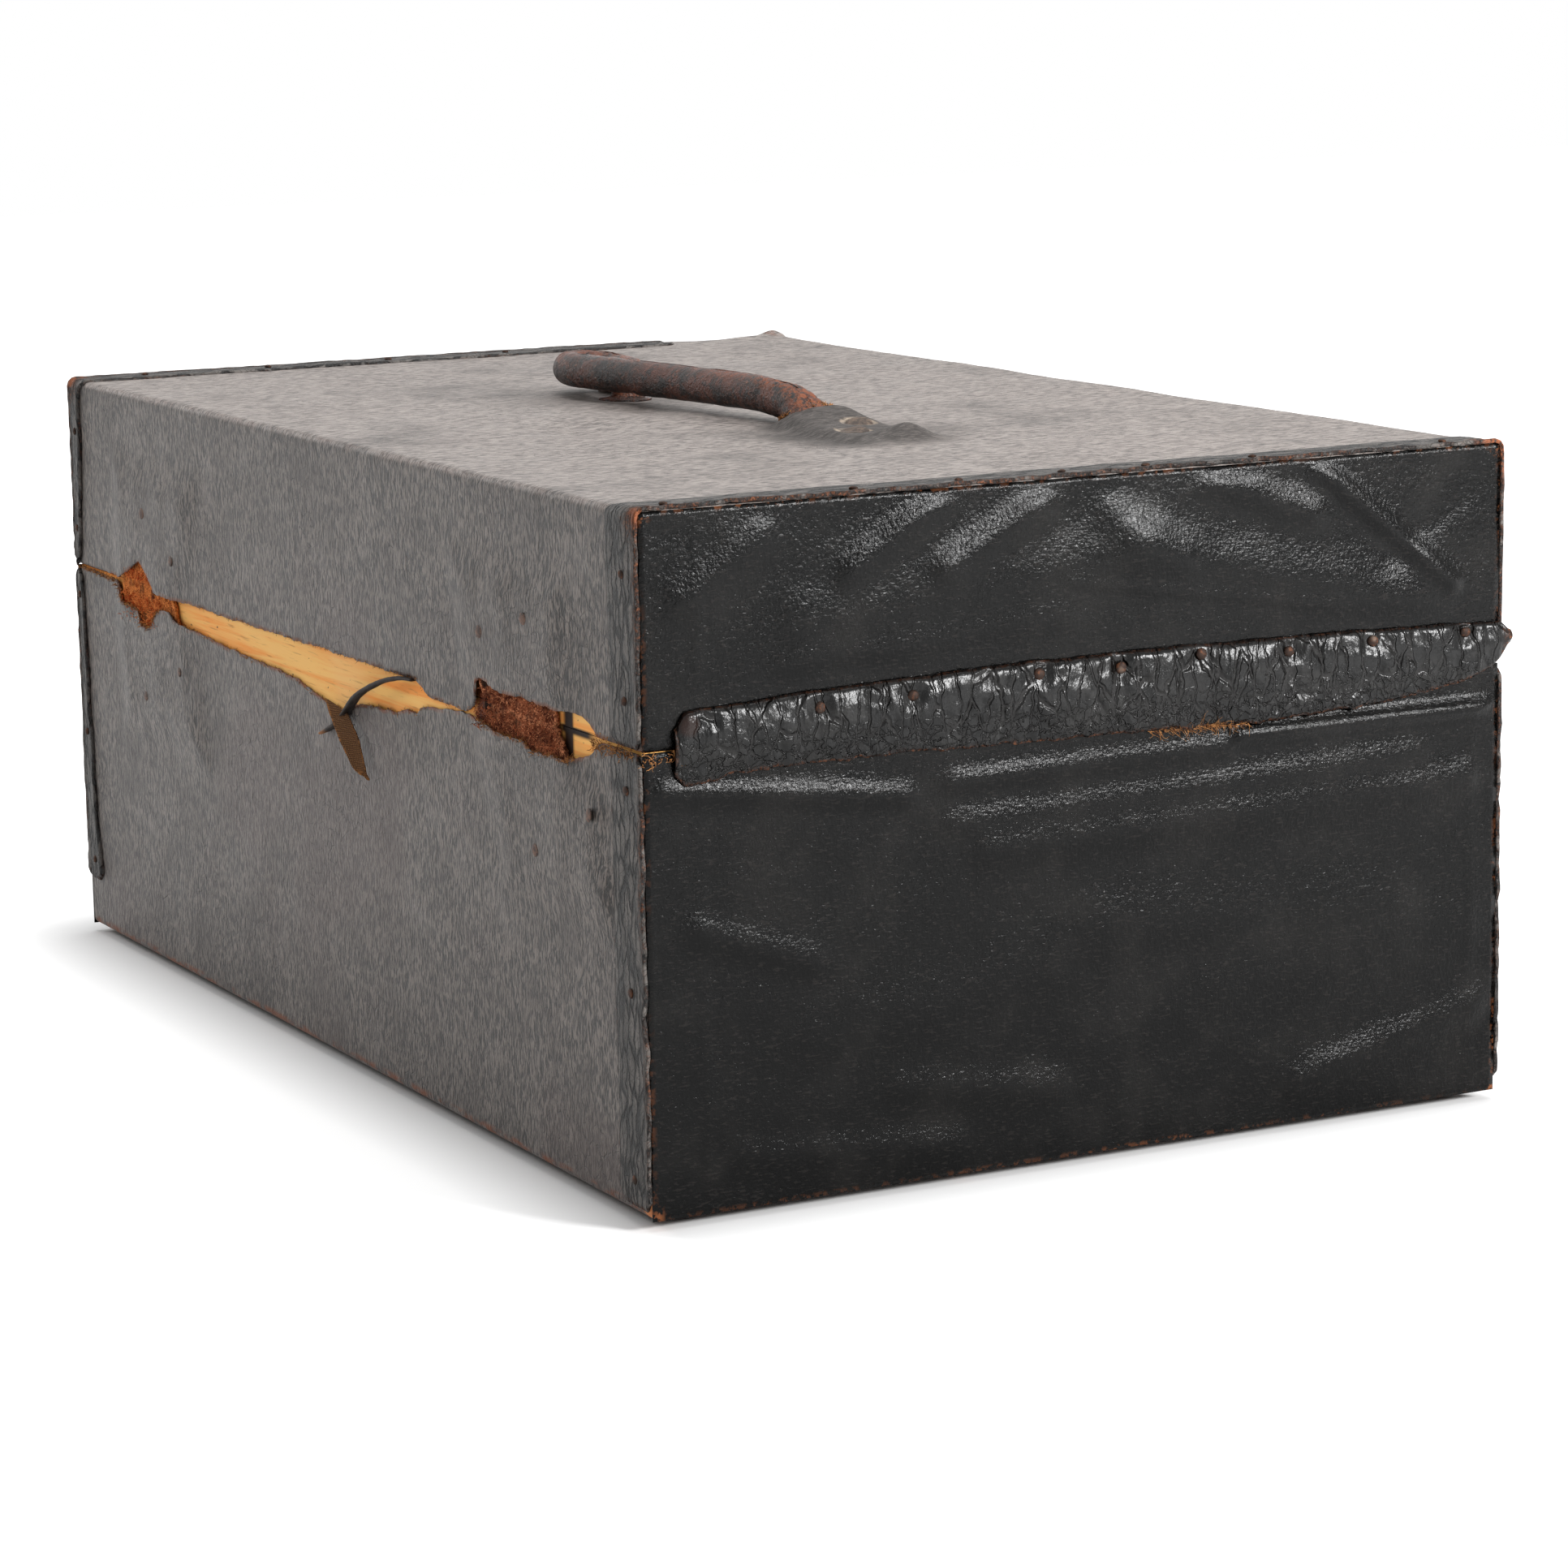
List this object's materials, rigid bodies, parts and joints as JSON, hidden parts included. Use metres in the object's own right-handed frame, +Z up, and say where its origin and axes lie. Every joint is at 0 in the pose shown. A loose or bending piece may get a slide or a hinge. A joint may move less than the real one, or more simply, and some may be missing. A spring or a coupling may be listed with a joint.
{
  "type": "leather travel case",
  "caption": "Flat-topped travel case in leathercloth over softwood, with a strap-hinged lid, leather dust flaps, a slumped rolled leather handle on top and front swing hooks",
  "frame": {"origin": "on the ground, at the middle of the case", "axes": "+X along the case, from the near end to the far end; +Y towards the strap hinges; +Z up"},
  "size_m": [0.6162, 0.389, 0.2845],
  "materials": {
    "softwood": "bare pale softwood, planed, gone amber with age",
    "iron": "dark brown oxidised iron, slightly glossy where rubbed",
    "grey_leathercloth": "matte warm grey coated cloth with a fine crinkle, worn to brown on the edges",
    "black_leathercloth": "glossy black coated cloth with soft ripples",
    "binding_leather": "crackled black leather with ragged brown edges",
    "strap_leather": "powdering red-brown leather, fibrous",
    "handle_leather": "dark red-brown stitched leather, rubbed to orange, glossy where handled",
    "rope": "jute rope",
    "hook_steel": "dark browned steel",
    "rove_brass": "dull brass",
    "lining_paper": "aged buff paper",
    "backing_tape": "brown woven backing, frayed"
  },
  "bodies": {
    "base": {"base_front_board": "softwood", "base_back_board": "softwood", "base_near_end_board": "softwood", "base_far_end_board": "softwood", "base_bottom_board": "softwood", "base_joint_nails": "iron", "base_covering": "grey_leathercloth", "base_near_end_panel": "black_leathercloth", "base_far_end_panel": "black_leathercloth", "base_near_binding": "binding_leather", "base_far_binding": "binding_leather", "base_binding_tacks": "iron", "base_hinge_straps": "strap_leather", "base_hinge_nails": "iron", "base_lining": "lining_paper", "corner_feet": "iron", "catch_studs": "hook_steel", "torn_tape": "backing_tape", "torn_welt": "strap_leather"},
    "lid": {"lid_front_board": "softwood", "lid_back_board": "softwood", "lid_near_end_board": "softwood", "lid_far_end_board": "softwood", "lid_top_board": "softwood", "lid_joint_nails": "iron", "lid_covering": "grey_leathercloth", "lid_near_end_panel": "black_leathercloth", "lid_far_end_panel": "black_leathercloth", "lid_near_binding": "binding_leather", "lid_far_binding": "binding_leather", "lid_binding_tacks": "iron", "lid_hinge_straps": "strap_leather", "lid_hinge_nails": "iron", "lid_lining": "lining_paper", "near_dust_flap": "binding_leather", "far_dust_flap": "binding_leather", "front_dust_flap": "binding_leather", "dust_flap_tacks": "iron", "near_handle_tab": "handle_leather", "far_handle_tab": "handle_leather", "far_handle_collar": "handle_leather", "handle_rivets": "iron", "handle_rivet_roves": "rove_brass", "hook_pivots": "hook_steel"},
    "handle": {"handle_leather": "handle_leather", "handle_core": "rope"},
    "left_hook": {"left_hook": "hook_steel"},
    "right_hook": {"right_hook": "hook_steel"}
  },
  "joints": [
    {"name": "lid_hinge", "type": "hinge", "parent": "base", "child": "lid", "pos_m": [0, 0.192, 0.178], "axis": [-1, 0, 0], "range_deg": [0, 180]},
    {"name": "handle_hinge", "type": "hinge", "parent": "lid", "child": "handle", "pos_m": [0.003, 0.005, 0.2747], "axis": [1, 0, 0], "range_deg": [0, 150]},
    {"name": "left_hook_pivot", "type": "hinge", "parent": "lid", "child": "left_hook", "pos_m": [-0.17, -0.193, 0.2053], "axis": [0, 1, 0], "range_deg": [0, 90]},
    {"name": "right_hook_pivot", "type": "hinge", "parent": "lid", "child": "right_hook", "pos_m": [0.17, -0.193, 0.2053], "axis": [0, -1, 0], "range_deg": [0, 90]}
  ]
}
